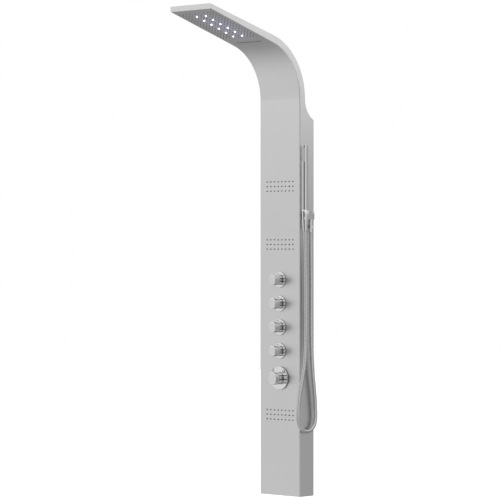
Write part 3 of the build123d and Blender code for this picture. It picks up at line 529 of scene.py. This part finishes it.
def new_piece(name, mesh_data, material, body=None):
    """A smooth mesh object with a finish, which rides on a body if one is named."""
    piece = bpy.data.objects.new(name, mesh_data)
    SCENE.collection.objects.link(piece)
    piece.data.materials.append(material)
    for face in piece.data.polygons:
        face.use_smooth = True
    if body:
        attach(piece, body)
    return piece


def route_points():
    """Evenly followed points of the hose's smooth route."""
    curve = bpy.data.curves.new("hose_route", "CURVE")
    curve.dimensions = "3D"
    curve.resolution_u = 24
    spline = curve.splines.new("NURBS")
    spline.points.add(len(HOSE_ROUTE) - 1)
    for point, place in zip(spline.points, HOSE_ROUTE):
        point.co = (*place, 1)
    spline.order_u = 3
    spline.use_endpoint_u = True
    holder = bpy.data.objects.new("hose_route", curve)
    line = bpy.data.meshes.new_from_object(holder)
    points = [vertex.co.copy() for vertex in line.vertices]
    bpy.data.objects.remove(holder)
    bpy.data.curves.remove(curve)
    bpy.data.meshes.remove(line)
    return points


def resampled(points, step):
    """Points a fixed step apart along a line, and the line's length."""
    lengths = [0.0]
    for a, b in zip(points, points[1:]):
        lengths.append(lengths[-1] + (b - a).length)
    count = round(lengths[-1] / step)
    made = []
    index = 0
    for i in range(count + 1):
        goal = lengths[-1] * i / count
        while index < len(lengths) - 2 and lengths[index + 1] < goal:
            index += 1
        share = (goal - lengths[index]) / (lengths[index + 1] - lengths[index])
        made.append(points[index].lerp(points[index + 1], share))
    return made, lengths[-1]


def wound_hose():
    """The metal hose: a tube whose wound strip shows as a fine helical ridge."""
    route = route_points()
    rings, length = resampled(route, HOSE_PITCH / HOSE_STEPS)
    ahead = (rings[1] - rings[0]).normalized()
    side = ahead.orthogonal().normalized()
    mesh = bmesh.new()
    loops = []
    for i, centre in enumerate(rings):
        before, after = rings[max(i - 1, 0)], rings[min(i + 1, len(rings) - 1)]
        ahead = (after - before).normalized()
        side = (side - ahead * side.dot(ahead)).normalized()
        up = ahead.cross(side)
        loop = []
        for k in range(HOSE_SIDES):
            turn = k / HOSE_SIDES
            phase = (i / HOSE_STEPS + turn) * 2 * math.pi
            radius = HOSE_R - HOSE_GROOVE * (0.5 - 0.5 * math.cos(phase)) ** 2
            angle = turn * 2 * math.pi
            spoke = math.cos(angle) * side + math.sin(angle) * up
            loop.append(mesh.verts.new(centre + radius * spoke))
        loops.append(loop)
    for a, b in zip(loops, loops[1:]):
        for k in range(HOSE_SIDES):
            n = (k + 1) % HOSE_SIDES
            mesh.faces.new((a[k], a[n], b[n], b[k]))
    mesh.faces.new(list(reversed(loops[0])))
    mesh.faces.new(loops[-1])
    data = bpy.data.meshes.new("wound_hose")
    mesh.to_mesh(data)
    mesh.free()
    hose = new_piece("wound_hose", data, HOSE_METAL)
    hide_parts("shower_hose")
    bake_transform(hose)


# ---------------------------------------------------------------- studio

def studio():
    """Camera, floor, lights and surroundings."""
    camera = bpy.data.objects.new("camera", bpy.data.cameras.new("camera"))
    SCENE.collection.objects.link(camera)
    camera.location = CAMERA_PLACE
    camera.rotation_euler = CAMERA_TURN
    camera.data.lens = CAMERA_LENS
    camera.data.sensor_width = CAMERA_SENSOR
    SCENE.camera = camera
    SCENE.view_settings.view_transform = "Standard"

    floor_data = bpy.data.meshes.new("studio_floor")
    far, level = FLOOR_HALF, CAD_BOX[0].z - FLOOR_DROP
    corners = [(-far, -far, level), (far, -far, level), (far, far, level), (-far, far, level)]
    floor_data.from_pydata(corners, [], [(0, 1, 2, 3)])
    floor = bpy.data.objects.new("studio_floor", floor_data)
    SCENE.collection.objects.link(floor)
    floor.data.materials.append(stage_white())
    floor.visible_glossy = False

    softbox("side_light", (3.2, 3.6, 1.9), width=2.6, height=2.2, power=16)
    softbox("front_light", (-3.4, -4.0, 2.2), width=2.4, height=2.4, power=4)
    surroundings()


def softbox(name, place, width, height, power):
    """A rectangular light that faces the object."""
    data = bpy.data.lights.new(name, "AREA")
    data.shape = "RECTANGLE"
    data.size = width
    data.size_y = height
    data.energy = power
    light = bpy.data.objects.new(name, data)
    SCENE.collection.objects.link(light)
    light.location = place
    aim = Vector(LIGHT_AIM) - Vector(place)
    light.rotation_euler = aim.to_track_quat("-Z", "Y").to_euler()


def surroundings():
    """A pale room, white to the camera itself and darker in what the metal mirrors."""
    world = bpy.data.worlds.new("studio")
    SCENE.world = world
    world.use_nodes = True
    tree = world.node_tree
    back = tree.nodes["Background"]

    def node(kind, **settings):
        made = tree.nodes.new(kind)
        for key, value in settings.items():
            setattr(made, key, value)
        return made

    def ranged(value, spread, low, high):
        made = node("ShaderNodeMapRange", interpolation_type="SMOOTHSTEP")
        tree.links.new(value, made.inputs["Value"])
        made.inputs["From Min"].default_value, made.inputs["From Max"].default_value = spread
        made.inputs["To Min"].default_value = low
        made.inputs["To Max"].default_value = high
        return made.outputs["Result"]

    def combined(operation, a, b):
        made = node("ShaderNodeMath", operation=operation)
        tree.links.new(a, made.inputs[0])
        tree.links.new(b, made.inputs[1])
        return made.outputs[0]

    def facing(toward):
        made = node("ShaderNodeVectorMath", operation="DOT_PRODUCT")
        made.inputs[1].default_value = toward
        tree.links.new(place.outputs["Generated"], made.inputs[0])
        return made.outputs["Value"]

    place = node("ShaderNodeTexCoord")
    split = node("ShaderNodeSeparateXYZ")
    tree.links.new(place.outputs["Generated"], split.inputs[0])
    shift = node("ShaderNodeMath", operation="MULTIPLY_ADD")
    tree.links.new(split.outputs["Y"], shift.inputs[0])
    shift.inputs[1].default_value = 0.5
    shift.inputs[2].default_value = 0.5
    room = node("ShaderNodeValToRGB")
    tree.links.new(shift.outputs[0], room.inputs["Fac"])
    stops = room.color_ramp.elements
    while len(stops) < len(ROOM):
        stops.new(1.0)
    for stop, (toward, bright) in zip(stops, ROOM):
        stop.position = toward * 0.5 + 0.5
        stop.color = (bright, bright, bright, 1)

    dark = ranged(facing(DARK_TOWARD), DARK_SPREAD, 1.0, DARK)
    window = ranged(facing(WINDOW_TOWARD), WINDOW_SPREAD, 0.0, WINDOW)
    above = ranged(split.outputs["Z"], ABOVE_SPREAD, 0.0, ABOVE)
    level = combined("ADD", room.outputs["Color"], combined("ADD", window, above))
    dimmed = combined("MULTIPLY", level, dark)

    rays = node("ShaderNodeLightPath")
    shown = node("ShaderNodeMix", data_type="FLOAT")
    tree.links.new(rays.outputs["Is Camera Ray"], shown.inputs["Factor"])
    tree.links.new(dimmed, shown.inputs["A"])
    shown.inputs["B"].default_value = 1.0
    tree.links.new(shown.outputs["Result"], back.inputs["Strength"])
    back.inputs["Color"].default_value = (1, 1, 1, 1)


def index_mark():
    """The small dark mark on the mixer's plate that the knob's scale is read against."""
    low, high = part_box("mixer_plate")
    mesh = bmesh.new()
    bmesh.ops.create_uvsphere(mesh, u_segments=20, v_segments=10, radius=MARK_R)
    bmesh.ops.scale(mesh, vec=(1, 0.35, 1), verts=mesh.verts)
    place = Vector((MARK_X, low.y, (low.z + high.z) / 2 + MARK_UP))
    bmesh.ops.translate(mesh, vec=place, verts=mesh.verts)
    data = bpy.data.meshes.new("index_mark")
    mesh.to_mesh(data)
    mesh.free()
    mark = new_piece("index_mark", data, LINER, "column")


def lamp_domes():
    """The lit domes that stand out of the lens strips under the head."""
    for side, label in ((-1, "left"), (1, "right")):
        mesh = bmesh.new()
        for i in range(LED_COUNT):
            centre = HEAD_TIP + HEAD_ALONG * (LED_FIRST + i * LED_PITCH)
            centre += Vector((side * LED_X, 0, 0))
            made = bmesh.ops.create_uvsphere(mesh, u_segments=20, v_segments=12, radius=DOME_R)
            for vertex in made["verts"]:
                x, y, z = vertex.co
                vertex.co = centre + HEAD_OUT * z + HEAD_ALONG * y + Vector((x, 0, 0))
        data = bpy.data.meshes.new("lamp_domes_" + label)
        mesh.to_mesh(data)
        mesh.free()
        domes = new_piece("lamp_domes_" + label, data, LENS, "column")


studio()
band_finishes()
finish_nodes()
wound_hose()
index_mark()
lamp_domes()
